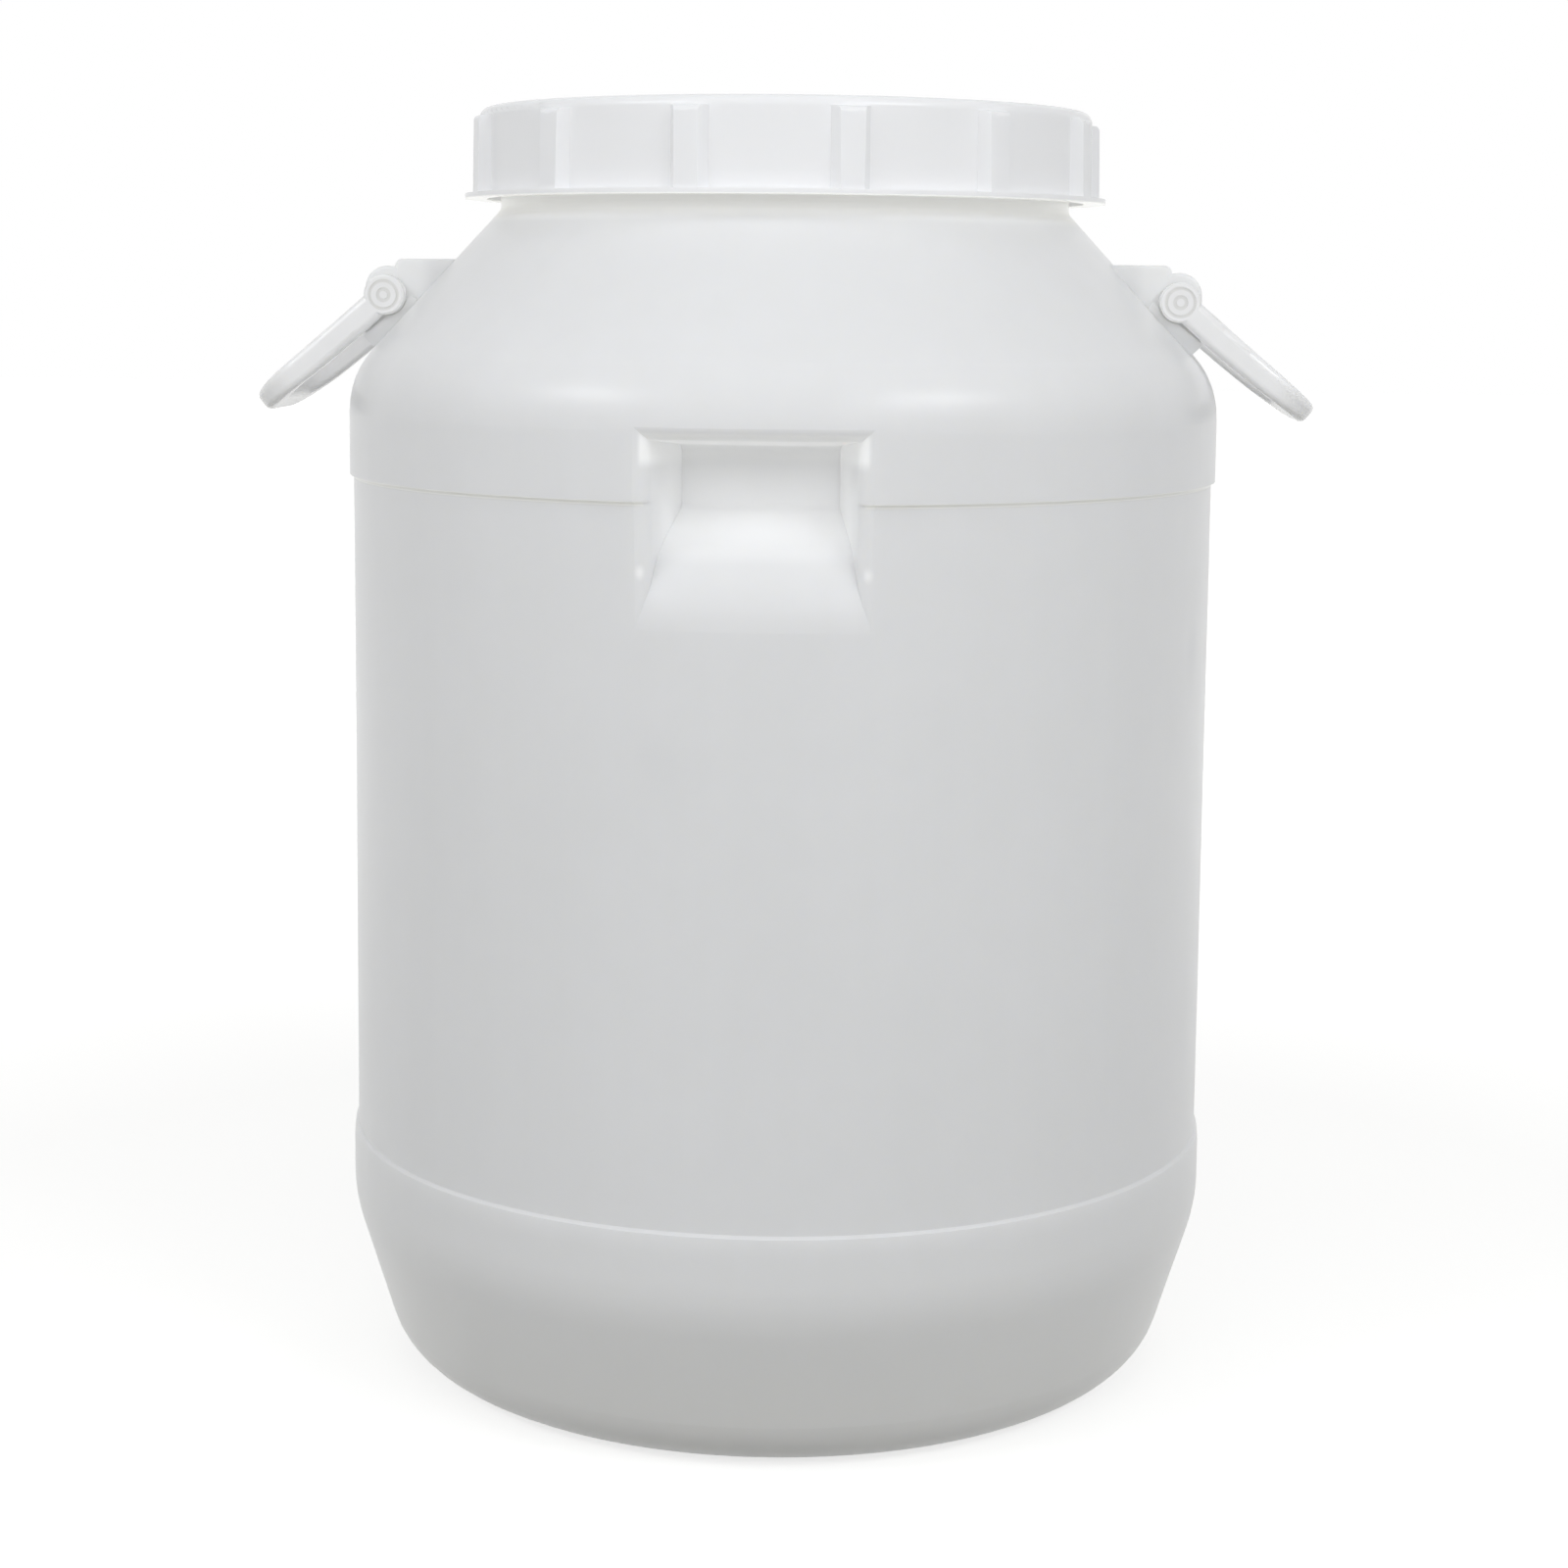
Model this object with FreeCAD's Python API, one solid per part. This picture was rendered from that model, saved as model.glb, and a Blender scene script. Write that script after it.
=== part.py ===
import FreeCAD, Part
import math
import os

# Round water barrel of about 50 litres, blow moulded in white polyethylene.
# Millimetres. The origin is the middle of the base, +Z is up, the two lugs and
# their bails stand out along X, and the two hand grips face -Y and +Y.

V = FreeCAD.Vector
UP = V(0, 0, 1)
MIDDLE = V(0, 0, 0)

# Overall sizes
UPPER_BAND_RADIUS = 190.7       # the widest part
UPPER_BAND_TOP = 420.0          # where the upper band turns in to the shoulder

# Foot and lower band
FOOT_FLAT_STEP = 46.4           # from the upper band in to the end of the base's flat
FOOT_CORNER_RADIUS = 30.6
FOOT_LEAN_DEG = 17.5            # slope of the foot's wall from upright
FOOT_BLEND_RADIUS = 63.6        # from the sloping foot into the lower band
LOWER_BAND_STEP = 0.8           # in from the upper band
LEDGE_HEIGHT = 105.4            # where the lower band steps in to the panel
LEDGE_SLOPE = 1.2               # size of the sloping edge along the ledge
LEDGE_EASE_HEIGHT = 7.5         # the band's gentle fall below that edge

# The base is pushed up in the middle so that the barrel stands on a ring
STAND_RING_WIDTH = 34.0
PUSH_UP_HEIGHT = 6.5
PUSH_UP_WALL = 7.0
PUSH_UP_DOME = 2.0

# Panel, upper band, shoulder and neck
PANEL_FOOT_STEP = 2.5           # in from the upper band
PANEL_TOP_STEP = 1.8
UPPER_BAND_HEIGHT = 27.2        # from the seam, where it steps out
SHOULDER_RADIUS = 40.0          # round from the band into the shoulder
SHOULDER_LEAN_DEG = 42.4        # slope of the shoulder from upright
NECK_RADIUS = 124.7
NECK_ROOT_RADIUS = 4.0
NECK_RIM_CHAMFER = 1.5

# Screw lid
LID_GAP_ABOVE_ROOT = 4.4        # between the shoulder's top and the lid's rim
LID_HEIGHT = 39.3
LID_TOP_WALL = 4.0
LID_SKIRT_GAP = 6.3             # room for the thread between neck and skirt
LID_SKIRT_WALL = 3.0
LID_EDGE_RADIUS = 4.3
LID_RIM_WIDTH = 6.4             # how far the rim stands out of the skirt
LID_RIM_HEIGHT = 2.2
LID_DISH_DEPTH = 1.6            # the top is sunk a little inside its border
LID_DISH_BORDER = 16.0
LID_DISH_SLOPE = 3.0
RIB_COUNT = 13
RIB_FIRST_DEG = -103.2          # bearing of the first rib from +X
RIB_CREST_WIDTH = 9.6
RIB_FLANK = 3.4
RIB_HEIGHT = 5.1
RIB_DRAFT = 0.5
RIB_TOP_DROP = 4.4              # from the lid's top down to the ribs' tops
RIB_ROUND = 2.4
RIB_SINK = 0.6                  # the flanks start this deep in the skirt
RIB_STOCK = 2.0                 # left round each rib and trimmed off by its envelope

# Hand grips, one at the front and one at the back
GRIP_DEPTH = 42.7
GRIP_BACK_WIDTH = 64.4
GRIP_DRAFT_DEG = 13.5           # opening angle of each side wall
GRIP_CEILING_BELOW_BAND_TOP = 3.0
GRIP_CEILING_SLOPE_DEG = 5.0
GRIP_BACK_HEIGHT = 24.8
GRIP_RAMP_DEG = 29.0            # fall of the floor from level
GRIP_LIP_RADIUS = 6.0
GRIP_SIDE_RADIUS = 6.0
GRIP_FLOOR_RADIUS = 40.0
GRIP_INNER_RADIUS = 4.0
GRIP_CUT_IN = 0.015             # the rounds cross the wall instead of grazing it
GRIP_CUT_OUT = 18.0             # how far the cutters stand out of the wall
GRIP_CUT_OVERLAP = 10.0         # how far the upper cutter reaches below the seam

# Bails
PIVOT_STEP = 19.2               # from the upper band in to the hinge pins
PIVOT_RISE = 50.3               # from the upper band's top up to them
BAIL_REST_DEG = 39.5            # below level
BAIL_REACH = 75.5               # from the pin to the outside of the grip
BAIL_ARM_THICKNESS = 8.0
BAIL_GRIP_DEPTH = 12.5
BAIL_CORNER_RADIUS = 24.0
BAIL_ROOT_ABOVE = 5.6           # the arm's edge above and below the pin's axis
BAIL_ROOT_BELOW = 5.8
BAIL_CROWN_ABOVE = 4.6
BAIL_BELLY_BELOW = 7.0
BAIL_TIP_ABOVE = 4.2
BAIL_TIP_BELOW = 5.2
BAIL_OUTER_ROUND = 3.2
BAIL_INNER_ROUND = 2.4
BOSS_RADIUS = 8.7
BOSS_EDGE = 0.8
BOSS_RINGS = ((6.5, 5.6), (3.0, 1.9))   # outer and inner radius of each groove
BOSS_RING_DEPTH = 0.4
PIN_RADIUS = 6.0
PIN_LENGTH = 9.0
PIN_CHAMFER = 1.5

# Lugs that carry the bails
LUG_WIDTH = 62.0
LUG_TOP_RISE = 15.7             # above the pins
LUG_TOP_STEP = 3.5              # its flat top ends this far inside them
LUG_NOSE_RADIUS = 9.7
LUG_NOSE_RISE = 2.9             # the nose's centre stands above the pin's
LUG_END_BELOW_PIVOT = 18.5      # where the lug's end turns back to the wall
LUG_CORNER_RADIUS = 3.0
LUG_EDGE_RADIUS = 1.4
LUG_ROOT = 30.0                 # how far it is set into the shoulder
STOP_STEP = 2.0                 # how far the arms' shelf stands out of the lug's side
BAIL_SIDE_GAP = 0.5             # between lug and arm
PIN_RUNNING_GAP = 0.06
PIN_END_GAP = 0.6
STOP_GAP = 0.3
BOSS_SWEEP_GAP = 0.6

# Places taken from the sizes above
FOOT_FLAT_RADIUS = UPPER_BAND_RADIUS - FOOT_FLAT_STEP
LOWER_BAND_RADIUS = UPPER_BAND_RADIUS - LOWER_BAND_STEP
PANEL_FOOT_RADIUS = UPPER_BAND_RADIUS - PANEL_FOOT_STEP
PANEL_TOP_RADIUS = UPPER_BAND_RADIUS - PANEL_TOP_STEP
SEAM_HEIGHT = UPPER_BAND_TOP - UPPER_BAND_HEIGHT
PIVOT_RADIUS = UPPER_BAND_RADIUS - PIVOT_STEP
PIVOT_HEIGHT = UPPER_BAND_TOP + PIVOT_RISE
LUG_TOP = PIVOT_HEIGHT + LUG_TOP_RISE
LUG_TOP_REACH = PIVOT_RADIUS - LUG_TOP_STEP


def rad(degrees):
    return math.radians(degrees)


def line(a, b):
    return Part.LineSegment(a, b).toShape()


def arc(a, middle, b):
    return Part.Arc(a, middle, b).toShape()


def face_of(edges):
    return Part.Face(Part.Wire(Part.__sortEdges__(edges)))


def rz(radius, height):
    """A point of a turned outline."""
    return V(radius, 0, height)


def round_rz(centre, radius, start_deg, end_deg):
    """An arc of a turned outline, its angles counted from outward to up."""
    points = [
        rz(centre[0] + radius * math.cos(rad(a)), centre[1] + radius * math.sin(rad(a)))
        for a in (start_deg, (start_deg + end_deg) / 2, end_deg)
    ]
    return arc(*points)


def joined(parts):
    """Edges through a list of points and arcs, with straight runs between them."""
    edges = []
    last = None
    for part in parts:
        start = part if isinstance(part, FreeCAD.Vector) else part.firstVertex().Point
        end = part if isinstance(part, FreeCAD.Vector) else part.lastVertex().Point
        if last is not None and last.distanceToPoint(start) > 1e-6:
            edges.append(line(last, start))
        if not isinstance(part, FreeCAD.Vector):
            edges.append(part)
        last = end
    first = parts[0] if isinstance(parts[0], FreeCAD.Vector) else parts[0].firstVertex().Point
    if last.distanceToPoint(first) > 1e-6:
        edges.append(line(last, first))
    return edges


def turned(parts):
    return face_of(joined(parts)).revolve(MIDDLE, UP, 360)


def prism_y(parts, width):
    """An outline in the XZ plane, made as wide as width and centred on it."""
    face = face_of(joined(parts))
    face.translate(V(0, -width / 2, 0))
    return face.extrude(V(0, width, 0))


def mirrored_pair(shape):
    """The shape and its copy half a turn round the barrel."""
    copy = shape.copy()
    copy.rotate(MIDDLE, UP, 180)
    return shape, copy


# ---- barrel ----

def shoulder_tangent():
    """Where the round above the upper band ends and the sloping shoulder starts."""
    turn = rad(SHOULDER_LEAN_DEG)
    radius = UPPER_BAND_RADIUS - SHOULDER_RADIUS * (1 - math.cos(turn))
    return radius, UPPER_BAND_TOP + SHOULDER_RADIUS * math.sin(turn)


def shoulder_top():
    """Height at which the sloping shoulder reaches the neck."""
    radius, height = shoulder_tangent()
    return height + (radius - NECK_RADIUS) / math.tan(rad(SHOULDER_LEAN_DEG))


def lid_base():
    return shoulder_top() + LID_GAP_ABOVE_ROOT


def neck_top():
    return lid_base() + LID_HEIGHT - LID_TOP_WALL


def panel_radius(height):
    rise = (height - LEDGE_HEIGHT) / (SEAM_HEIGHT - LEDGE_HEIGHT)
    return PANEL_FOOT_RADIUS + (PANEL_TOP_RADIUS - PANEL_FOOT_RADIUS) * rise


def foot_outline():
    """Base, foot and lower band, from the middle of the base to the ledge."""
    lean = rad(FOOT_LEAN_DEG)
    ring_inner = FOOT_FLAT_RADIUS - STAND_RING_WIDTH
    corner_end_radius = FOOT_FLAT_RADIUS + FOOT_CORNER_RADIUS * math.cos(lean)
    corner_end_height = FOOT_CORNER_RADIUS * (1 - math.sin(lean))
    blend_start_radius = LOWER_BAND_RADIUS - FOOT_BLEND_RADIUS * (1 - math.cos(lean))
    slope_length = (blend_start_radius - corner_end_radius) / math.sin(lean)
    blend_start_height = corner_end_height + slope_length * math.cos(lean)
    band_start = blend_start_height + FOOT_BLEND_RADIUS * math.sin(lean)
    edge_radius = PANEL_FOOT_RADIUS + LEDGE_SLOPE
    edge_height = LEDGE_HEIGHT - LEDGE_SLOPE
    ease_start = edge_height - LEDGE_EASE_HEIGHT
    ease_step = LOWER_BAND_RADIUS - edge_radius
    return [
        rz(0, PUSH_UP_HEIGHT + PUSH_UP_DOME),
        rz(ring_inner - PUSH_UP_WALL, PUSH_UP_HEIGHT),
        rz(ring_inner, 0),
        round_rz((FOOT_FLAT_RADIUS, FOOT_CORNER_RADIUS), FOOT_CORNER_RADIUS, -90, -FOOT_LEAN_DEG),
        round_rz((LOWER_BAND_RADIUS - FOOT_BLEND_RADIUS, band_start), FOOT_BLEND_RADIUS, -FOOT_LEAN_DEG, 0),
        arc(
            rz(LOWER_BAND_RADIUS, ease_start),
            rz(LOWER_BAND_RADIUS - ease_step / 4, ease_start + LEDGE_EASE_HEIGHT / 2),
            rz(edge_radius, edge_height),
        ),
        rz(PANEL_FOOT_RADIUS, LEDGE_HEIGHT),
    ]


def top_outline():
    """Upper band, shoulder and neck, from the seam to the middle of the neck."""
    root = NECK_ROOT_RADIUS * math.tan(rad(SHOULDER_LEAN_DEG / 2))
    top = neck_top()
    return [
        rz(PANEL_TOP_RADIUS, SEAM_HEIGHT),
        rz(UPPER_BAND_RADIUS, SEAM_HEIGHT),
        round_rz((UPPER_BAND_RADIUS - SHOULDER_RADIUS, UPPER_BAND_TOP), SHOULDER_RADIUS, 0, SHOULDER_LEAN_DEG),
        round_rz((NECK_RADIUS + NECK_ROOT_RADIUS, shoulder_top() + root), NECK_ROOT_RADIUS,
                 180 + SHOULDER_LEAN_DEG, 180),
        rz(NECK_RADIUS, top - NECK_RIM_CHAMFER),
        rz(NECK_RADIUS - NECK_RIM_CHAMFER, top),
        rz(0, top),
    ]


def grip_side_view():
    """The hand grip's side view turned about the axis, level with the upper band and the panel."""
    outside = UPPER_BAND_RADIUS + GRIP_CUT_OUT
    back_radius = UPPER_BAND_RADIUS - GRIP_DEPTH
    back_top = UPPER_BAND_TOP - GRIP_CEILING_BELOW_BAND_TOP - GRIP_DEPTH * math.tan(rad(GRIP_CEILING_SLOPE_DEG))
    back_foot = back_top - GRIP_BACK_HEIGHT
    inner = GRIP_INNER_RADIUS

    def ceiling(radius):
        return back_top + (radius - back_radius) * math.tan(rad(GRIP_CEILING_SLOPE_DEG))

    def floor_round(wall_radius):
        """Centre of the round that takes the floor out into a wall of this radius."""
        radius = wall_radius + GRIP_CUT_IN - GRIP_FLOOR_RADIUS
        floor = back_foot - (radius - back_radius) * math.tan(rad(GRIP_RAMP_DEG))
        return radius, floor - GRIP_FLOOR_RADIUS / math.cos(rad(GRIP_RAMP_DEG))

    lip_radius = UPPER_BAND_RADIUS + GRIP_CUT_IN - GRIP_LIP_RADIUS
    lip_height = ceiling(lip_radius) + GRIP_LIP_RADIUS / math.cos(rad(GRIP_CEILING_SLOPE_DEG))
    # The panel leans a little, so its radius is taken where the floor runs out.
    foot_height = floor_round(PANEL_TOP_RADIUS)[1]
    floor_centre = floor_round(panel_radius(foot_height))
    ceiling_turn = 90 - GRIP_CEILING_SLOPE_DEG
    floor_turn = 90 - GRIP_RAMP_DEG
    corner_up = inner * math.tan(rad(ceiling_turn / 2))
    corner_down = inner * math.tan(rad(floor_turn / 2))
    return turned([
        rz(outside, floor_centre[1]),
        round_rz(floor_centre, GRIP_FLOOR_RADIUS, 0, floor_turn),
        round_rz((back_radius + inner, back_foot + corner_down), inner, 180 + floor_turn, 180),
        round_rz((back_radius + inner, back_top - corner_up), inner, 180, 180 - ceiling_turn),
        round_rz((lip_radius, lip_height), GRIP_LIP_RADIUS, -ceiling_turn, 0),
        rz(outside, lip_height),
    ])


def grip_plan(wall_radius):
    """The hand grip seen from above, with its sides rounded out to a wall of this radius."""
    draft = rad(GRIP_DRAFT_DEG)
    back = UPPER_BAND_RADIUS - GRIP_DEPTH
    half = GRIP_BACK_WIDTH / 2
    reach = wall_radius + GRIP_CUT_IN - GRIP_SIDE_RADIUS
    # The round's centre lies one radius off the side wall and one radius inside the wall's circle.
    a = half + GRIP_SIDE_RADIUS / math.cos(draft) - back * math.tan(draft)
    t = math.tan(draft)
    depth = (-a * t + math.sqrt((1 + t * t) * reach * reach - a * a)) / (1 + t * t)
    centre = V(a + depth * t, -depth, 0)
    on_wall = centre + V(-math.cos(draft), -math.sin(draft), 0) * GRIP_SIDE_RADIUS
    outward = V(centre.x, centre.y, 0)
    outward.normalize()
    on_circle = centre + outward * GRIP_SIDE_RADIUS
    between = V(-math.cos(draft) + outward.x, -math.sin(draft) + outward.y, 0)
    between.normalize()
    middle = centre + between * GRIP_SIDE_RADIUS
    far = on_circle + outward * GRIP_CUT_OUT
    inside = back - GRIP_DEPTH
    inner_half = half - GRIP_DEPTH * t
    right = [far, on_circle, middle, on_wall, V(inner_half, -inside, 0)]
    left = [V(-p.x, p.y, 0) for p in right]
    return face_of([
        line(right[0], right[1]), arc(right[1], right[2], right[3]), line(right[3], right[4]),
        line(right[4], left[4]), line(left[4], left[3]), arc(left[3], left[2], left[1]),
        line(left[1], left[0]), line(left[0], right[0]),
    ])


def grip_cutter():
    """The front hand grip: a lip in the upper band, and a floor that runs out into the panel."""
    side_view = grip_side_view()
    upper = (UPPER_BAND_RADIUS, SEAM_HEIGHT - GRIP_CUT_OVERLAP, UPPER_BAND_TOP + SHOULDER_RADIUS)
    lower = (PANEL_TOP_RADIUS, SEAM_HEIGHT - 2 * GRIP_DEPTH, SEAM_HEIGHT)
    pieces = []
    for wall_radius, low, high in (upper, lower):
        plan = grip_plan(wall_radius)
        plan.translate(V(0, 0, low))
        pieces.append(plan.extrude(V(0, 0, high - low)).common(side_view))
    return pieces


def pivot():
    return V(PIVOT_RADIUS, 0, PIVOT_HEIGHT)


def along_bail(distance, above):
    """A point in the XZ plane, given along the resting bail from its pin and above its middle line."""
    angle = rad(BAIL_REST_DEG)
    return pivot() + V(math.cos(angle), 0, -math.sin(angle)) * distance \
        + V(math.sin(angle), 0, math.cos(angle)) * above


def drum_y(radius, y_from, y_to, x, z):
    return Part.makeCylinder(radius, abs(y_to - y_from), V(x, min(y_from, y_to), z), V(0, 1, 0))


def lug():
    """Block on the shoulder with a rounded nose round the pin and a shelf under the bail's arms."""
    nose_x = PIVOT_RADIUS + LUG_NOSE_RADIUS
    nose_z = PIVOT_HEIGHT + LUG_NOSE_RISE
    end_z = PIVOT_HEIGHT - LUG_END_BELOW_PIVOT
    stop_width = LUG_WIDTH + 2 * STOP_STEP
    nose_reach = math.sqrt(LUG_NOSE_RADIUS ** 2 - (LUG_TOP_REACH - PIVOT_RADIUS) ** 2)
    slant = math.sqrt(0.5) * LUG_NOSE_RADIUS
    block = prism_y([
        V(PIVOT_RADIUS - LUG_ROOT, 0, LUG_TOP),
        arc(
            V(LUG_TOP_REACH - LUG_CORNER_RADIUS, 0, LUG_TOP),
            V(LUG_TOP_REACH - LUG_CORNER_RADIUS * (1 - math.sqrt(0.5)), 0,
              LUG_TOP - LUG_CORNER_RADIUS * (1 - math.sqrt(0.5))),
            V(LUG_TOP_REACH, 0, LUG_TOP - LUG_CORNER_RADIUS),
        ),
        arc(
            V(LUG_TOP_REACH, 0, nose_z + nose_reach),
            V(PIVOT_RADIUS + slant, 0, nose_z + slant),
            V(nose_x, 0, nose_z),
        ),
        V(nose_x, 0, end_z),
        V(nose_x - LUG_ROOT / 2, 0, end_z - LUG_ROOT / 2),
        V(PIVOT_RADIUS - LUG_ROOT, 0, end_z - LUG_ROOT / 2),
    ], LUG_WIDTH)
    rim = [e for e in block.Edges if abs(abs(e.CenterOfMass.y) - LUG_WIDTH / 2) < 1e-3]
    block = block.makeFillet(LUG_EDGE_RADIUS, rim)
    shelf_drop = -(BAIL_BELLY_BELOW + STOP_GAP)
    shelf = prism_y([
        along_bail(-BOSS_RADIUS, shelf_drop),
        along_bail(BAIL_REACH / 2, shelf_drop),
        along_bail(BAIL_REACH / 2, shelf_drop - LUG_ROOT),
        along_bail(-BOSS_RADIUS, shelf_drop - LUG_ROOT),
    ], stop_width)
    end = prism_y([
        V(PIVOT_RADIUS - LUG_ROOT, 0, LUG_TOP),
        V(nose_x, 0, LUG_TOP),
        V(nose_x, 0, end_z),
        V(nose_x - LUG_ROOT / 2, 0, end_z - LUG_ROOT / 2),
        V(PIVOT_RADIUS - LUG_ROOT, 0, end_z - LUG_ROOT / 2),
    ], stop_width)
    boss_room = drum_y(BOSS_RADIUS + BOSS_SWEEP_GAP, -stop_width, stop_width, PIVOT_RADIUS, PIVOT_HEIGHT)
    return block.fuse(shelf.common(end).cut(boss_room))


def pin_bores():
    depth = PIN_LENGTH + PIN_END_GAP + BAIL_SIDE_GAP
    radius = PIN_RADIUS + PIN_RUNNING_GAP
    bores = []
    for side in (-1, 1):
        mouth = side * (LUG_WIDTH / 2 + 1)
        bores.append(drum_y(radius, mouth, side * (LUG_WIDTH / 2 - depth), PIVOT_RADIUS, PIVOT_HEIGHT))
    return bores


def make_barrel():
    body = turned(foot_outline() + top_outline())
    for side in mirrored_pair(lug()):
        body = body.fuse(side)
    for bore in pin_bores():
        for side in mirrored_pair(bore):
            body = body.cut(side)
    for piece in grip_cutter():
        for side in mirrored_pair(piece):
            body = body.cut(side)
    return body.removeSplitter()


# ---- lid ----

def lid_skirt_radius():
    return NECK_RADIUS + LID_SKIRT_GAP + LID_SKIRT_WALL


def rib_prism(crest_radius, low, height):
    """One rib standing at +X: a crest with a sloping flank on each side."""
    crest = RIB_CREST_WIDTH / 2
    foot = crest + RIB_FLANK
    foot_radius = lid_skirt_radius() - RIB_SINK
    root_radius = lid_skirt_radius() - LID_SKIRT_WALL / 2
    outline = Part.makePolygon([
        V(root_radius, -foot, low),
        V(foot_radius, -foot, low),
        V(crest_radius, -crest, low),
        V(crest_radius + RIB_STOCK, -crest, low),
        V(crest_radius + RIB_STOCK, crest, low),
        V(crest_radius, crest, low),
        V(foot_radius, foot, low),
        V(root_radius, foot, low),
        V(root_radius, -foot, low),
    ])
    return Part.Face(outline).extrude(V(0, 0, height))


def rib_envelope(low, high):
    """The ring that the ribs fill, narrower at the top and with a rounded shoulder."""
    crest = lid_skirt_radius() + RIB_HEIGHT
    inner = lid_skirt_radius() - LID_SKIRT_WALL / 2
    return turned([
        rz(inner, low),
        rz(crest, low),
        round_rz((crest - RIB_DRAFT - RIB_ROUND, high - RIB_ROUND), RIB_ROUND, 0, 90),
        rz(inner, high),
    ])


def make_lid():
    base = lid_base()
    top = base + LID_HEIGHT
    skirt = lid_skirt_radius()
    dish = skirt - LID_EDGE_RADIUS - LID_DISH_BORDER
    lid = turned([
        rz(0, top - LID_DISH_DEPTH),
        rz(dish - LID_DISH_SLOPE, top - LID_DISH_DEPTH),
        rz(dish, top),
        round_rz((skirt - LID_EDGE_RADIUS, top - LID_EDGE_RADIUS), LID_EDGE_RADIUS, 90, 0),
        rz(skirt, base + LID_RIM_HEIGHT),
        rz(skirt + LID_RIM_WIDTH, base + LID_RIM_HEIGHT),
        rz(skirt + LID_RIM_WIDTH, base),
        rz(skirt - LID_SKIRT_WALL, base),
        rz(skirt - LID_SKIRT_WALL, neck_top()),
        rz(0, neck_top()),
    ])
    low = base + LID_RIM_HEIGHT / 2
    high = top - RIB_TOP_DROP
    envelope = rib_envelope(low, high)
    for i in range(RIB_COUNT):
        rib = rib_prism(skirt + RIB_HEIGHT, low - RIB_STOCK, high - low + 2 * RIB_STOCK)
        rib.rotate(MIDDLE, UP, RIB_FIRST_DEG + i * 360 / RIB_COUNT)
        lid = lid.fuse(rib.common(envelope))
    return lid.removeSplitter()


# ---- bails ----

def bail_side_view(width):
    """The bail from the side, with gently bellied edges."""
    middle = BAIL_REACH / 2
    above = arc(
        V(0, 0, BAIL_ROOT_ABOVE),
        V(middle, 0, BAIL_CROWN_ABOVE),
        V(BAIL_REACH, 0, BAIL_TIP_ABOVE),
    )
    below = arc(
        V(BAIL_REACH, 0, -BAIL_TIP_BELOW),
        V(middle, 0, -BAIL_BELLY_BELOW),
        V(0, 0, -BAIL_ROOT_BELOW),
    )
    return prism_y([above, below], width)


def rounded_end(reach, half, corner, height):
    """A tongue from the pin out to reach, with two rounded corners, as tall as height."""
    near = -BOSS_RADIUS
    slant = corner * (1 - math.sqrt(0.5))
    edges = [
        line(V(near, -half, 0), V(reach - corner, -half, 0)),
        arc(V(reach - corner, -half, 0), V(reach - slant, slant - half, 0), V(reach, corner - half, 0)),
        line(V(reach, corner - half, 0), V(reach, half - corner, 0)),
        arc(V(reach, half - corner, 0), V(reach - slant, half - slant, 0), V(reach - corner, half, 0)),
        line(V(reach - corner, half, 0), V(near, half, 0)),
        line(V(near, half, 0), V(near, -half, 0)),
    ]
    face = face_of(edges)
    face.translate(V(0, 0, -height / 2))
    return face.extrude(V(0, 0, height))


def make_bail():
    """The bail lying along +X with its pin's axis through the origin."""
    inner_half = LUG_WIDTH / 2 + BAIL_SIDE_GAP
    outer_half = inner_half + BAIL_ARM_THICKNESS
    tall = 4 * BAIL_BELLY_BELOW
    outer = rounded_end(BAIL_REACH, outer_half, BAIL_CORNER_RADIUS, tall)
    inner_corner = BAIL_CORNER_RADIUS - BAIL_ARM_THICKNESS
    inner = rounded_end(BAIL_REACH - BAIL_GRIP_DEPTH, inner_half, inner_corner, 2 * tall)
    bow = outer.cut(inner).common(bail_side_view(4 * outer_half))
    bow = bow.makeFillet(BAIL_OUTER_ROUND, loop_edges(bow, inner_half, False))
    bow = bow.makeFillet(BAIL_INNER_ROUND, loop_edges(bow, inner_half, True))
    for side in (-1, 1):
        boss = drum_y(BOSS_RADIUS, side * inner_half, side * outer_half, 0, 0)
        rims = [e for e in boss.Edges if isinstance(e.Curve, Part.Circle)
                and abs(abs(e.CenterOfMass.y) - outer_half) < 1e-3]
        boss = boss.makeChamfer(BOSS_EDGE, rims)
        pin = drum_y(PIN_RADIUS, side * (inner_half - PIN_LENGTH), side * (inner_half + 1), 0, 0)
        tips = [e for e in pin.Edges if isinstance(e.Curve, Part.Circle)
                and abs(abs(e.CenterOfMass.y) - (inner_half - PIN_LENGTH)) < 1e-3]
        pin = pin.makeChamfer(PIN_CHAMFER, tips)
        bow = bow.fuse(boss).fuse(pin)
        face_y = side * outer_half
        for outer_radius, inner_radius in BOSS_RINGS:
            floor_y = face_y - side * BOSS_RING_DEPTH
            ring = drum_y(outer_radius, floor_y, face_y + side, 0, 0)
            bow = bow.cut(ring.cut(drum_y(inner_radius, floor_y, face_y + side, 0, 0)))
    return bow.removeSplitter()


def loop_edges(bow, inner_half, inside):
    """The edges above and below that run round the outside of the bow, or round its inside."""
    chosen = []
    for edge in bow.Edges:
        box = edge.BoundBox
        upright = box.ZLength > 3 and box.XLength < 1
        across_root = box.XMax < 1
        middle = edge.valueAt((edge.FirstParameter + edge.LastParameter) / 2)
        round_inside = middle.x < BAIL_REACH - BAIL_GRIP_DEPTH + 0.1 and abs(middle.y) < inner_half + 0.1
        if not upright and not across_root and round_inside == inside:
            chosen.append(edge)
    return chosen


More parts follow.
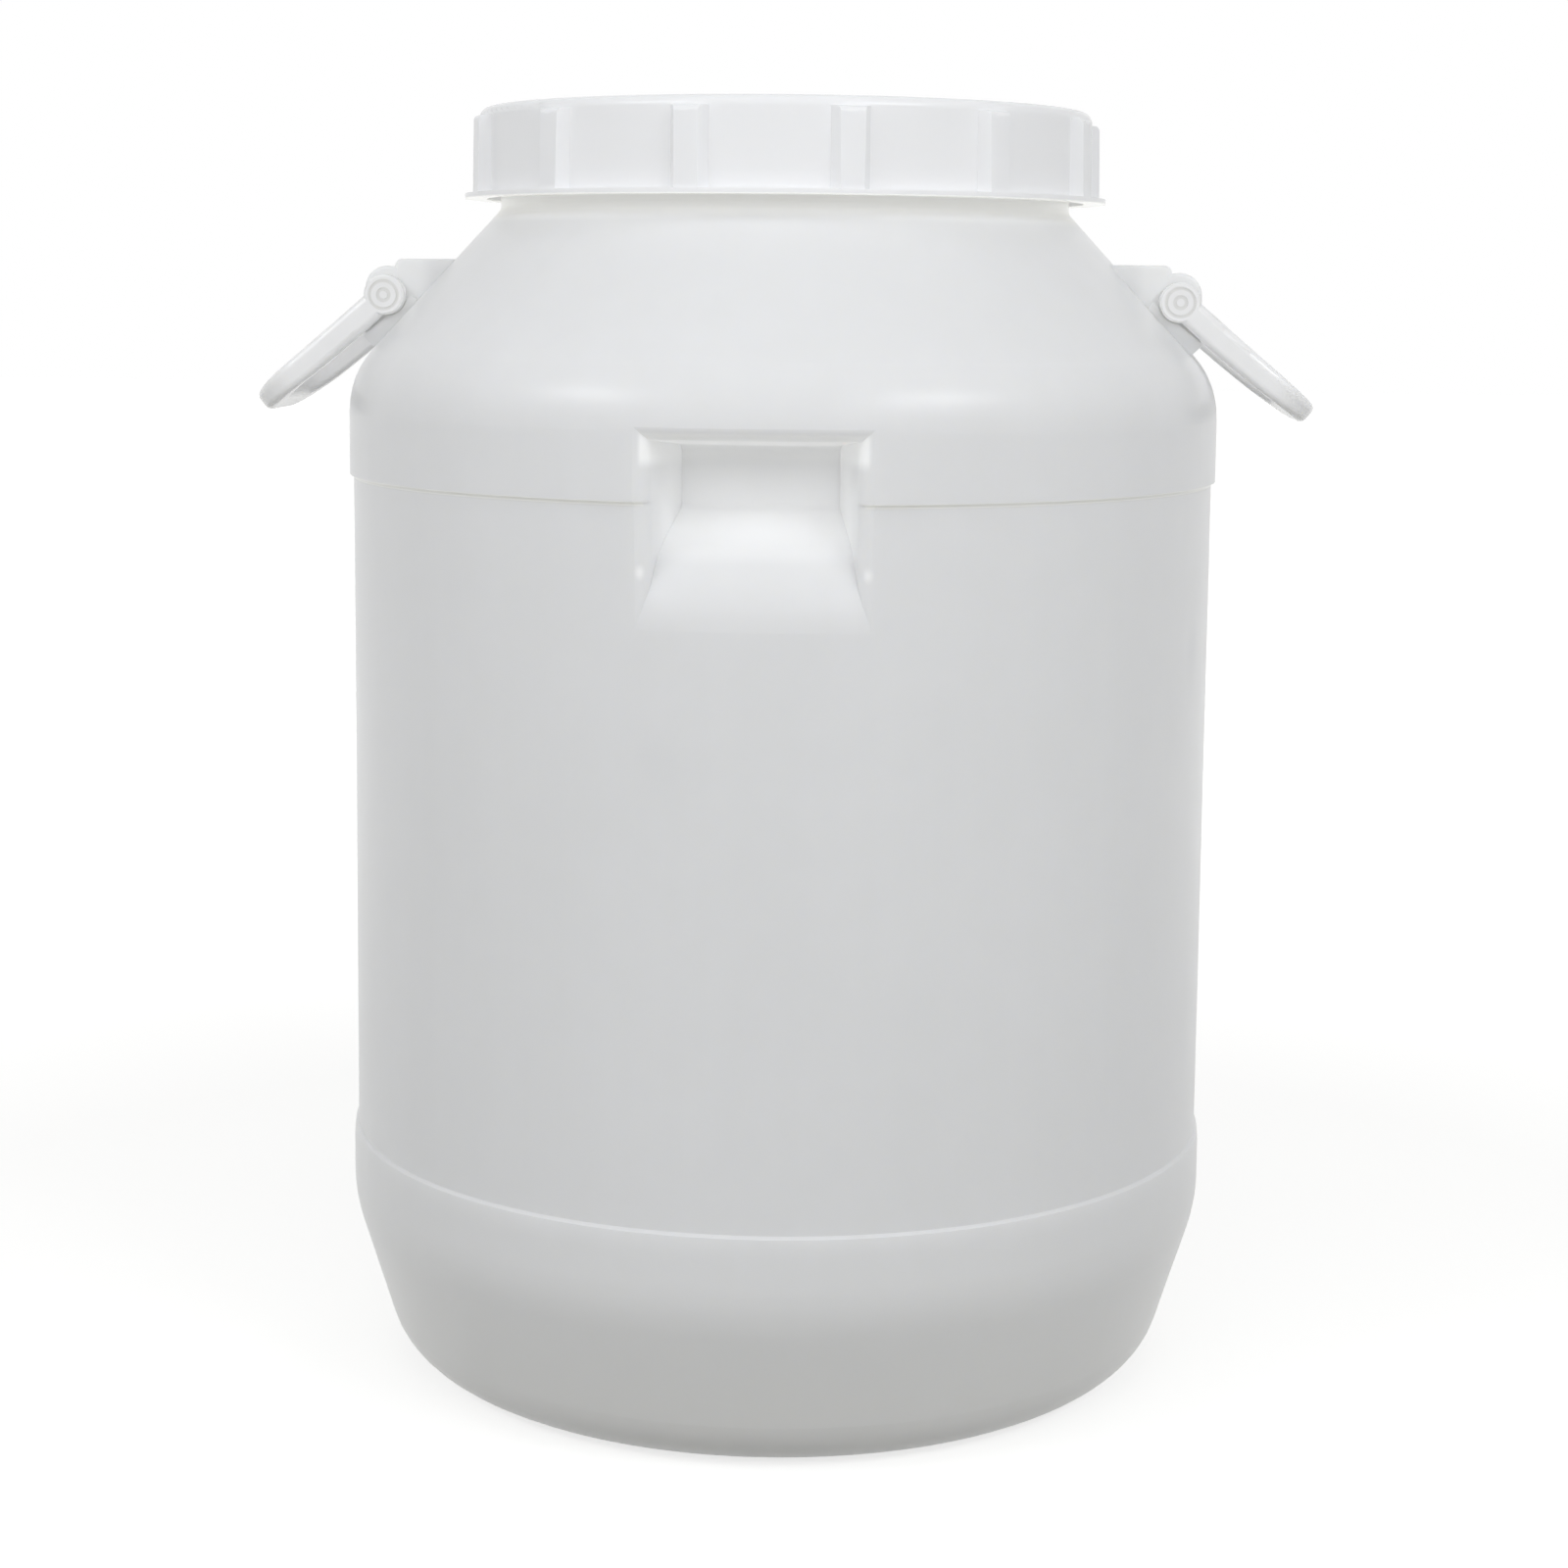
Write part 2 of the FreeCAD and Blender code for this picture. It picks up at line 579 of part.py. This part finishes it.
def make_handles():
    bail = make_bail()
    bail.rotate(MIDDLE, V(0, 1, 0), BAIL_REST_DEG)
    bail.translate(pivot())
    return mirrored_pair(bail)


def main():
    os.makedirs("parts", exist_ok=True)
    handle_right, handle_left = make_handles()
    nodes = {
        "barrel": make_barrel(),
        "lid": make_lid(),
        "handle_right": handle_right,
        "handle_left": handle_left,
    }
    for name, shape in nodes.items():
        shape.exportStep("parts/" + name + ".step")
        print(name, len(shape.Solids), shape.isValid(), round(shape.Volume))


main()
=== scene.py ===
import math

import bpy
from mathutils import Matrix, Vector


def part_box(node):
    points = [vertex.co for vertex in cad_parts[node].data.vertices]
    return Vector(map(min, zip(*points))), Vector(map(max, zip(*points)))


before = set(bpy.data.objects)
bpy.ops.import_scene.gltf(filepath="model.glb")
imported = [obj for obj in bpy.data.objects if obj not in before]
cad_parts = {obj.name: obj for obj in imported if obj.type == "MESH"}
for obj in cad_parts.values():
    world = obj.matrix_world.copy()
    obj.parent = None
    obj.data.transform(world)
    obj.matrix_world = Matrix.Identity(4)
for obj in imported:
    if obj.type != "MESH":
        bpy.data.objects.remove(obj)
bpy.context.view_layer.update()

scene = bpy.context.scene

# ---- Camera ----
# Stands about 1.3 m in front of the barrel at the height of its shoulder, a little towards +X,
# and looks slightly down. The lens is shifted so that the whole barrel fills the frame.

EYE_DISTANCE = 1.3127
EYE_HEIGHT = 0.478
EYE_BEARING = math.radians(3.41)
EYE_DIP = math.radians(5.943)
EYE_ROLL = math.radians(0.55)
EYE_FOCAL = 1.8829             # focal length in widths of the frame
SENSOR_WIDTH = 36
EYE_SHIFT = (0.0016, -0.125)

camera = bpy.data.objects.new("camera", bpy.data.cameras.new("camera"))
scene.collection.objects.link(camera)
scene.camera = camera
camera.data.sensor_width = SENSOR_WIDTH
camera.data.lens = SENSOR_WIDTH * EYE_FOCAL
camera.data.shift_x, camera.data.shift_y = EYE_SHIFT
camera.data.clip_start = 0.05
eye_back = Vector((
    math.sin(EYE_BEARING) * math.cos(EYE_DIP),
    -math.cos(EYE_BEARING) * math.cos(EYE_DIP),
    math.sin(EYE_DIP),
))
eye_turn = (-eye_back).to_track_quat("-Z", "Y").to_matrix().to_4x4()
eye_place = Vector((
    EYE_DISTANCE * math.sin(EYE_BEARING),
    -EYE_DISTANCE * math.cos(EYE_BEARING),
    EYE_HEIGHT,
))
camera.matrix_world = Matrix.Translation(eye_place) @ eye_turn @ Matrix.Rotation(EYE_ROLL, 4, "Z")

# ---- Studio light ----
# Two small cool soft boxes high in front, which gleam on the shoulder, and five broad ones that
# only fill: overhead, low in front, at both sides and behind. The room round them is plain and
# dim, and white to the eye and in reflections.

scene.view_settings.view_transform = "Standard"

COOL_WHITE = (0.95, 0.975, 1.0)
PLAIN_WHITE = (1.0, 1.0, 1.0)
ROOM_TINT = (1.0, 0.99, 0.97, 1)
ROOM_LEVEL = 0.2
SHOULDER = (0, 0, 0.4)         # the two places that the lamps face
MIDDLE = (0, 0, 0.3)


def soft_box(name, size, power, tint, place, aim, gleams=False):
    """A rectangular lamp at place that faces the point aim. One that doesn't gleam only fills."""
    data = bpy.data.lights.new(name, "AREA")
    data.shape = "RECTANGLE"
    data.size, data.size_y = size
    data.energy = power
    data.color = tint
    lamp = bpy.data.objects.new(name, data)
    scene.collection.objects.link(lamp)
    lamp.visible_camera = False
    lamp.visible_glossy = gleams
    lamp.location = place
    lamp.rotation_euler = (Vector(aim) - Vector(place)).to_track_quat("-Z", "Y").to_euler()


def wire(tree, start, end):
    tree.links.new(start, end)


def math_node(tree, operation, a, b=None, c=None):
    """A math node fed by sockets or numbers; gives its output."""
    node = tree.nodes.new("ShaderNodeMath")
    node.operation = operation
    for i, value in enumerate((a, b, c)):
        if isinstance(value, (int, float)):
            node.inputs[i].default_value = value
        elif value is not None:
            wire(tree, value, node.inputs[i])
    return node.outputs[0]


def looked_at(tree):
    """1 for a ray that sees the studio, straight on or in a reflection, and 0 for one that lights."""
    path = tree.nodes.new("ShaderNodeLightPath").outputs
    mirrored = math_node(tree, "MAXIMUM", path["Is Glossy Ray"], path["Is Transmission Ray"])
    return math_node(tree, "MAXIMUM", path["Is Camera Ray"], mirrored)


soft_box("overhead", (2.4, 2.4), 6.3, COOL_WHITE, (0.0, 0.0, 2.6), MIDDLE)
soft_box("front_left", (0.9, 0.35), 9.6, COOL_WHITE, (-1.45, -1.25, 1.6), SHOULDER, gleams=True)
soft_box("front_right", (0.9, 0.35), 10.8, COOL_WHITE, (1.35, -1.35, 1.6), SHOULDER, gleams=True)
soft_box("front_middle", (2.0, 0.5), 8.5, PLAIN_WHITE, (0.0, -1.3, 0.9), SHOULDER)
soft_box("side_left", (1.4, 1.4), 6.6, PLAIN_WHITE, (-2.2, -0.6, 1.0), MIDDLE)
soft_box("side_right", (1.4, 1.4), 8.3, PLAIN_WHITE, (2.2, -0.6, 1.0), MIDDLE)
soft_box("back", (2.4, 1.2), 11.0, PLAIN_WHITE, (0.0, 2.2, 1.2), MIDDLE)

room = bpy.data.worlds.new("room")
scene.world = room
room.use_nodes = True
tree = room.node_tree
tree.nodes.clear()
out = tree.nodes.new("ShaderNodeOutputWorld")
seen_or_lit = tree.nodes.new("ShaderNodeMixShader")
room_light = tree.nodes.new("ShaderNodeBackground")
room_light.inputs["Color"].default_value = ROOM_TINT
room_light.inputs["Strength"].default_value = ROOM_LEVEL
plain_white = tree.nodes.new("ShaderNodeBackground")
plain_white.inputs["Color"].default_value = (1, 1, 1, 1)
plain_white.inputs["Strength"].default_value = 1.0
wire(tree, looked_at(tree), seen_or_lit.inputs["Fac"])
wire(tree, room_light.outputs[0], seen_or_lit.inputs[1])
wire(tree, plain_white.outputs[0], seen_or_lit.inputs[2])
wire(tree, seen_or_lit.outputs[0], out.inputs["Surface"])

# ---- Floor ----
# A wide pale sheet that the barrel stands on. It keeps the barrel's soft shadow near by and
# runs out into plain white further off.

FLOOR_HALF = 12
FLOOR_GREY = (0.4, 0.4, 0.39, 1)
LIFT_NEAR, LIFT_FAR = 0.72, 1.0
LIFT_STARTS, LIFT_ENDS = 0.5, 1.6

corners = [(x * FLOOR_HALF, y * FLOOR_HALF, 0) for x, y in ((-1, -1), (1, -1), (1, 1), (-1, 1))]
floor_mesh = bpy.data.meshes.new("floor")
floor_mesh.from_pydata(corners, [], [(0, 1, 2, 3)])
floor = bpy.data.objects.new("floor", floor_mesh)
scene.collection.objects.link(floor)
floor_sheet = bpy.data.materials.new("floor_sheet")
floor_sheet.use_nodes = True
tree = floor_sheet.node_tree
tree.nodes.clear()
out = tree.nodes.new("ShaderNodeOutputMaterial")
both = tree.nodes.new("ShaderNodeAddShader")
sheet = tree.nodes.new("ShaderNodeBsdfDiffuse")
sheet.inputs["Color"].default_value = FLOOR_GREY
lift = tree.nodes.new("ShaderNodeEmission")
reach = tree.nodes.new("ShaderNodeVectorMath")
reach.operation = "LENGTH"
wire(tree, tree.nodes.new("ShaderNodeTexCoord").outputs["Object"], reach.inputs[0])
fade = tree.nodes.new("ShaderNodeMapRange")
fade.inputs["From Min"].default_value = LIFT_STARTS
fade.inputs["From Max"].default_value = LIFT_ENDS
fade.inputs["To Min"].default_value = LIFT_NEAR
fade.inputs["To Max"].default_value = LIFT_FAR
wire(tree, reach.outputs["Value"], fade.inputs["Value"])
only_seen = math_node(tree, "MULTIPLY", fade.outputs["Result"], looked_at(tree))
wire(tree, only_seen, lift.inputs["Strength"])
wire(tree, sheet.outputs[0], both.inputs[0])
wire(tree, lift.outputs[0], both.inputs[1])
wire(tree, both.outputs[0], out.inputs["Surface"])
floor.data.materials.append(floor_sheet)

# ---- Barrel ----
# Blow moulded in one shot from natural white polyethylene: milky, satin, a little see-through.
# The skin has faint upright draw lines, clouding and fine grain. A parting line runs through the lugs,
# painted shade darkens the seam under the upper band, and painted highlights sit at the grips' lower
# corners.

CLOUD_SCALE = 7.0
MOTTLE_SCALE = 55.0
DRAW_LINE_SCALE = 60.0
DRAW_LINE_STRETCH = (1, 1, 0.03)
DRAW_LINE_HEIGHT = 0.00012
GRAIN_SCALE = 700.0

BARREL_WHITE = (0.725, 0.73, 0.74, 1)
BARREL_CLOUD = (0.70, 0.705, 0.712, 1)
BARREL_GLEAM = 0.3
BARREL_MILK = (0.5, (1.0, 0.96, 0.84), 0.012)   # how much, its reach by colour, and how deep
FOOT_GREY = (0.70, 0.70, 0.69, 1)
FOOT_TOP = 0.12
SEAM_HEIGHT = 0.3928
# Painted shade in the seam under the upper band.
PAINTED_SEAM_SHADE = (0.60, 0.60, 0.54, 1)
PAINTED_SEAM_SHADE_AMOUNT = 0.2
LEDGE_INNER = 0.187
SMUDGE_GREY = (0.62, 0.63, 0.65, 1)
SMUDGES = (((-0.037, -0.185, 0.293), 0.013, 1.3, 0.16), ((0.178, -0.0624, 0.324), 0.012, 1.8, 0.4))
# Painted highlights at the lower corners of the grips.
GLINT_WHITE = (0.93, 0.93, 0.94, 1)
GLINT_X, GLINT_Y, GLINT_Z = 0.044, 0.183, 0.3655
GLINT_RADIUS, GLINT_TALL = 0.0028, 1.5
GLINT_AMOUNT = 0.6
PARTING_HEIGHT = 0.00025

# Painted glow: the plastics' emission, which lightens their shade as light through the thin wall from
# inside would.
GLOW = 0.4                     # light that comes through the thin wall from inside
GLOW_ON_WALL = (0.12, 0.12, 0.117, 1)
GLOW_IN_GRIP = (0.42, 0.42, 0.41, 1)
GLOW_IN_LIP = (0.55, 0.55, 0.53, 1)
GLOW_IN_SEAM = (0.45, 0.45, 0.42, 1)
GLOW_IN_LUG = (0.27, 0.27, 0.255, 1)
GLOW_UNDER_LID = (0.72, 0.715, 0.665, 1)
WALL_RADIUS, GRIP_WALL_RADIUS = 0.190, 0.160
LIP_HEIGHT, LIP_RADIUS = 0.4135, 0.1895
LUG_INNER, LUG_OUTER = 0.150, 0.158
LUG_LOW, LUG_HIGH = 0.452, 0.464
NECK_FOOT_RADIUS, NECK_TOP_RADIUS = 0.138, 0.130
NECK_LOW, NECK_HIGH = 0.501, 0.508


def times(tree, a, b):
    return math_node(tree, "MULTIPLY", a, b)


def socket(group, name, kind, out=False, value=None):
    """Gives a node group an input, with its usual value, or an output."""
    in_out = "OUTPUT" if out else "INPUT"
    made = group.interface.new_socket(name, in_out=in_out, socket_type="NodeSocket" + kind)
    if value is not None:
        made.default_value = value


def noise(tree, place, scale, detail, stretch=(1, 1, 1)):
    """Smooth noise over object coordinates, drawn out along an axis by stretch; about 0 to 1."""
    mapping = tree.nodes.new("ShaderNodeMapping")
    mapping.inputs["Scale"].default_value = stretch
    node = tree.nodes.new("ShaderNodeTexNoise")
    node.inputs["Scale"].default_value = scale
    node.inputs["Detail"].default_value = detail
    wire(tree, place, mapping.inputs["Vector"])
    wire(tree, mapping.outputs[0], node.inputs["Vector"])
    return node.outputs["Fac"]


def mix(tree, amount, a, b):
    """Mixes two colours, given as sockets or values, by a socket or number."""
    node = tree.nodes.new("ShaderNodeMix")
    node.data_type = "RGBA"
    for name, value in (("Factor", amount), ("A", a), ("B", b)):
        wanted = name != "Factor"
        target = next(s for s in node.inputs if s.name == name and (s.type == "RGBA") == wanted)
        if isinstance(value, bpy.types.NodeSocket):
            wire(tree, value, target)
        else:
            target.default_value = value
    return next(s for s in node.outputs if s.type == "RGBA")


def ramp(tree, value, start, end):
    """Eases from 0 to 1 while value goes from start to end."""
    node = tree.nodes.new("ShaderNodeMapRange")
    node.interpolation_type = "SMOOTHSTEP"
    node.inputs["From Min"].default_value = start
    node.inputs["From Max"].default_value = end
    wire(tree, value, node.inputs["Value"])
    return node.outputs["Result"]


def band(tree, value, centre, half, soft):
    """1 where value is within half of centre, falling to 0 over soft."""
    away = math_node(tree, "ABSOLUTE", math_node(tree, "SUBTRACT", value, centre))
    return ramp(tree, away, half + soft, half)


def from_axis(tree, a, b):
    """How far a point is from an axis, given its two coordinates across it."""
    squares = (math_node(tree, "POWER", side, 2.0) for side in (a, b))
    return math_node(tree, "SQRT", math_node(tree, "ADD", *squares))


def own_place(tree):
    """A point's place on its own piece, whole and as x, y and z."""
    place = tree.nodes.new("ShaderNodeTexCoord").outputs["Object"]
    axes = tree.nodes.new("ShaderNodeSeparateXYZ")
    wire(tree, place, axes.inputs[0])
    return place, axes.outputs["X"], axes.outputs["Y"], axes.outputs["Z"]


def dab(tree, place, centre, radius, tall):
    """A soft round dab of that radius about a point, tall times as high as wide."""
    steps = (("SUBTRACT", centre), ("MULTIPLY", (1, 1, 1 / tall)), ("LENGTH", None))
    for operation, value in steps:
        node = tree.nodes.new("ShaderNodeVectorMath")
        node.operation = operation
        wire(tree, place, node.inputs[0])
        if value is not None:
            node.inputs[1].default_value = value
        place = node.outputs[0]
    return ramp(tree, node.outputs["Value"], radius, 0.0)


moulded_skin = bpy.data.node_groups.new("moulded_skin", "ShaderNodeTree")
socket(moulded_skin, "Tone", "Color", value=(0.8, 0.8, 0.8, 1))
socket(moulded_skin, "Cloud Tone", "Color", value=(0.7, 0.7, 0.7, 1))
socket(moulded_skin, "Cloud Amount", "Float", value=0.5)
socket(moulded_skin, "Draw Lines", "Float", value=0.3)
socket(moulded_skin, "Roughness", "Float", value=0.25)
socket(moulded_skin, "Roughness Spread", "Float", value=0.05)
socket(moulded_skin, "Grain", "Float", value=0.00002)
socket(moulded_skin, "Color", "Color", out=True)
socket(moulded_skin, "Roughness", "Float", out=True)
socket(moulded_skin, "Height", "Float", out=True)
tree = moulded_skin
given = tree.nodes.new("NodeGroupInput").outputs
gives = tree.nodes.new("NodeGroupOutput").inputs
place = tree.nodes.new("ShaderNodeTexCoord").outputs["Object"]
clouds = noise(tree, place, CLOUD_SCALE, 3.0)
mottle = noise(tree, place, MOTTLE_SCALE, 2.0)
lines = noise(tree, place, DRAW_LINE_SCALE, 2.0, DRAW_LINE_STRETCH)
grain = noise(tree, place, GRAIN_SCALE, 2.0)
line_share = times(tree, math_node(tree, "SUBTRACT", lines, 0.5), given["Draw Lines"])
cloudiness = math_node(tree, "MULTIPLY_ADD", mottle, 0.35, times(tree, clouds, 0.65))
cloudiness = math_node(tree, "ADD", cloudiness, line_share)
spread = tree.nodes.new("ShaderNodeMapRange")
spread.inputs["From Min"].default_value = 0.3
spread.inputs["From Max"].default_value = 0.7
wire(tree, cloudiness, spread.inputs["Value"])
amount = times(tree, spread.outputs["Result"], given["Cloud Amount"])
wire(tree, mix(tree, amount, given["Tone"], given["Cloud Tone"]), gives["Color"])
rough_shift = times(tree, math_node(tree, "SUBTRACT", mottle, 0.5), given["Roughness Spread"])
wire(tree, math_node(tree, "ADD", given["Roughness"], rough_shift), gives["Roughness"])
line_height = times(tree, line_share, DRAW_LINE_HEIGHT)
wire(tree, math_node(tree, "MULTIPLY_ADD", grain, given["Grain"], line_height), gives["Height"])


def plastic(name, skin_values, gleam, milk):
    """A milky plastic with the moulded skin on it; gives it, its tree, shader and skin."""
    milk_share, milk_reach, milk_depth = milk
    material = bpy.data.materials.new(name)
    material.use_nodes = True
    tree = material.node_tree
    shader = tree.nodes["Principled BSDF"].inputs
    skin = tree.nodes.new("ShaderNodeGroup")
    skin.node_tree = moulded_skin
    for socket_name, value in skin_values.items():
        skin.inputs[socket_name].default_value = value
    wire(tree, skin.outputs["Roughness"], shader["Roughness"])
    shader["Specular IOR Level"].default_value = gleam
    shader["Subsurface Weight"].default_value = milk_share
    shader["Subsurface Radius"].default_value = milk_reach
    shader["Subsurface Scale"].default_value = milk_depth
    # Painted glow, at strength GLOW; each material gives its own glow colour.
    shader["Emission Strength"].default_value = GLOW
    return material, tree, shader, skin.outputs


def bump(tree, shader, height):
    """Raises the surface by height in metres, for light only."""
    node = tree.nodes.new("ShaderNodeBump")
    node.inputs["Strength"].default_value = 1.0
    node.inputs["Distance"].default_value = 1.0
    wire(tree, height, node.inputs["Height"])
    wire(tree, node.outputs["Normal"], shader["Normal"])


def dress(node_name, material):
    """Puts a material in the slot of a carried-over piece."""
    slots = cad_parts[node_name].data.materials
    slots.clear()
    slots.append(material)


barrel_skin = {
    "Tone": BARREL_WHITE,
    "Cloud Tone": BARREL_CLOUD,
    "Cloud Amount": 0.7,
    "Draw Lines": 0.4,
    "Roughness": 0.30,
    "Grain": 0.000008,
}
barrel_plastic, tree, shader, skin = plastic("barrel_plastic", barrel_skin, BARREL_GLEAM, BARREL_MILK)
place, x, y, z = own_place(tree)
across = from_axis(tree, x, y)
# Darker towards the foot, in part as painted shade.
colour = mix(tree, ramp(tree, z, FOOT_TOP, 0.0), skin["Color"], FOOT_GREY)
# Painted shade: the seam under the upper band is darkened in colour.
painted_seam_shade = times(tree, band(tree, z, SEAM_HEIGHT - 0.0007, 0.0005, 0.0012), PAINTED_SEAM_SHADE_AMOUNT)
painted_seam_shade = times(tree, painted_seam_shade, ramp(tree, across, LEDGE_INNER, LEDGE_INNER + 0.0016))
colour = mix(tree, painted_seam_shade, colour, PAINTED_SEAM_SHADE)
for centre, radius, tall, strength in SMUDGES:
    smudge = times(tree, dab(tree, place, centre, radius, tall), strength)
    colour = mix(tree, smudge, colour, SMUDGE_GREY)
# Painted highlights: small whiter dabs at the lower corners of the grips.
for side, face in ((-1, -1), (1, -1), (-1, 1), (1, 1)):
    centre = (side * GLINT_X, face * GLINT_Y, GLINT_Z)
    painted_glint = times(tree, dab(tree, place, centre, GLINT_RADIUS, GLINT_TALL), GLINT_AMOUNT)
    colour = mix(tree, painted_glint, colour, GLINT_WHITE)
wire(tree, colour, shader["Base Color"])

in_grip = times(tree, ramp(tree, across, WALL_RADIUS, GRIP_WALL_RADIUS),
                band(tree, z, SEAM_HEIGHT + 0.002, 0.022, 0.006))
in_lip = times(tree, ramp(tree, across, LIP_RADIUS + 0.00105, LIP_RADIUS),
               band(tree, z, LIP_HEIGHT, 0.003, 0.006))
in_seam = times(tree, ramp(tree, across, LEDGE_INNER, LEDGE_INNER + 0.001),
                band(tree, z, SEAM_HEIGHT - 0.0006, 0.0006, 0.0005))
in_lug = times(tree, ramp(tree, math_node(tree, "ABSOLUTE", x), LUG_INNER, LUG_OUTER),
               ramp(tree, z, LUG_LOW, LUG_HIGH))
under_lid = times(tree, ramp(tree, across, NECK_FOOT_RADIUS, NECK_TOP_RADIUS),
                  ramp(tree, z, NECK_LOW, NECK_HIGH))
# Painted glow: it lightens the shade in the grips, under their lip, in the seam, by the lugs and under the
# lid.
glow = mix(tree, in_grip, GLOW_ON_WALL, GLOW_IN_GRIP)
glow = mix(tree, in_lip, glow, GLOW_IN_LIP)
glow = mix(tree, in_seam, glow, GLOW_IN_SEAM)
glow = mix(tree, in_lug, glow, GLOW_IN_LUG)
glow = mix(tree, under_lid, glow, GLOW_UNDER_LID)
wire(tree, glow, shader["Emission Color"])
parting = times(tree, band(tree, y, 0.0, 0.0002, 0.0006), PARTING_HEIGHT)
bump(tree, shader, math_node(tree, "ADD", skin["Height"], parting))
dress("barrel", barrel_plastic)

# ---- Lid ----
# Injection moulded in a whiter, glossier polyethylene and screwed on. The thread behind the
# thin skirt shows through it as faint level bands, and the top has a gate mark in its middle.

LID_WHITE = (0.80, 0.805, 0.82, 1)
LID_CLOUD = (0.79, 0.793, 0.805, 1)
# Painted glow on the lid, stronger under its rim.
LID_GLOW = (0.10, 0.10, 0.097, 1)
RIM_GLOW = (0.5, 0.495, 0.44, 1)
LID_GLEAM = 0.35
LID_MILK = (0.35, (1.0, 0.97, 0.9), 0.006)
THREAD_TONE = (0.80, 0.80, 0.815, 1)
THREAD_AMOUNT = 0.4
THREAD_PITCH = 0.0068
BAY_RADIUS = 0.1345
GATE_RADIUS, GATE_HEIGHT = 0.0025, 0.0006
GATE_RING_RADIUS, GATE_RING_DEPTH = 0.012, 0.0003
lid_low, lid_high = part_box("lid")

lid_skin = {
    "Tone": LID_WHITE,
    "Cloud Tone": LID_CLOUD,
    "Cloud Amount": 0.5,
    "Draw Lines": 0.0,
    "Roughness": 0.24,
    "Grain": 0.000002,
}
lid_plastic, tree, shader, skin = plastic("lid_plastic", lid_skin, LID_GLEAM, LID_MILK)
_, x, y, z = own_place(tree)
across = from_axis(tree, x, y)
on_skirt = band(tree, z, (lid_low.z + lid_high.z) / 2, 0.013, 0.004)
in_bay = ramp(tree, across, BAY_RADIUS + 0.0015, BAY_RADIUS)
wave = math_node(tree, "SINE", times(tree, z, 2 * math.pi / THREAD_PITCH))
thread = times(tree, times(tree, on_skirt, in_bay), math_node(tree, "MULTIPLY_ADD", wave, 0.5, 0.5))
wire(tree, mix(tree, times(tree, thread, THREAD_AMOUNT), skin["Color"], THREAD_TONE), shader["Base Color"])
# Painted glow: lightens the shade under the rim, over the neck, and the rest of the lid a little.
under_rim = ramp(tree, z, lid_low.z + 0.0006, lid_low.z + 0.0001)
wire(tree, mix(tree, under_rim, LID_GLOW, RIM_GLOW), shader["Emission Color"])
gate = times(tree, band(tree, across, 0.0, GATE_RADIUS, 0.0012), GATE_HEIGHT)
ring = times(tree, band(tree, across, GATE_RING_RADIUS, 0.0005, 0.0006), -GATE_RING_DEPTH)
bump(tree, shader, math_node(tree, "ADD", skin["Height"], math_node(tree, "ADD", gate, ring)))
dress("lid", lid_plastic)

# ---- Bail handles ----
# Injection moulded from the same white polyethylene as the lid, with painted shade in the round grooves
# of their bosses and a faint painted glow. Each is sprung over its lug and turns on two short pins of its
# own.

BAIL_WHITE = (0.80, 0.80, 0.81, 1)
BAIL_CLOUD = (0.78, 0.78, 0.785, 1)
BAIL_GLOW = (0.145, 0.145, 0.135, 1)
BAIL_GLEAM = 0.5
BAIL_MILK = (0.35, (1.0, 0.97, 0.88), 0.005)
# Painted shade in the round grooves of the bosses.
PAINTED_GROOVE_SHADE = (0.66, 0.66, 0.645, 1)
PAINTED_GROOVE_SHADE_AMOUNT = 0.6
PIN_X, PIN_Z = 0.1715, 0.4703
BOSS_FACE = 0.0395
OUTER_GROOVE, INNER_GROOVE = 0.00605, 0.00245

bail_skin = {
    "Tone": BAIL_WHITE,
    "Cloud Tone": BAIL_CLOUD,
    "Cloud Amount": 0.6,
    "Draw Lines": 0.0,
    "Roughness": 0.24,
    "Grain": 0.000002,
}
handle_plastic, tree, shader, skin = plastic("handle_plastic", bail_skin, BAIL_GLEAM, BAIL_MILK)
# Painted glow that lightens the handles' shade.
shader["Emission Color"].default_value = BAIL_GLOW
_, x, y, z = own_place(tree)
beside_pin = math_node(tree, "SUBTRACT", math_node(tree, "ABSOLUTE", x), PIN_X)
above_pin = math_node(tree, "SUBTRACT", z, PIN_Z)
off_pin = from_axis(tree, beside_pin, above_pin)
# Painted shade: the round grooves of the bosses are darkened in colour.
in_grooves = math_node(tree, "MAXIMUM", band(tree, off_pin, OUTER_GROOVE, 0.0005, 0.0004),
                       band(tree, off_pin, INNER_GROOVE, 0.0006, 0.0004))
on_boss = ramp(tree, math_node(tree, "ABSOLUTE", y), BOSS_FACE - 0.0016, BOSS_FACE - 0.0008)
in_grooves = times(tree, in_grooves, times(tree, on_boss, PAINTED_GROOVE_SHADE_AMOUNT))
wire(tree, mix(tree, in_grooves, skin["Color"], PAINTED_GROOVE_SHADE), shader["Base Color"])
bump(tree, shader, skin["Height"])
for name in ("handle_right", "handle_left"):
    dress(name, handle_plastic)
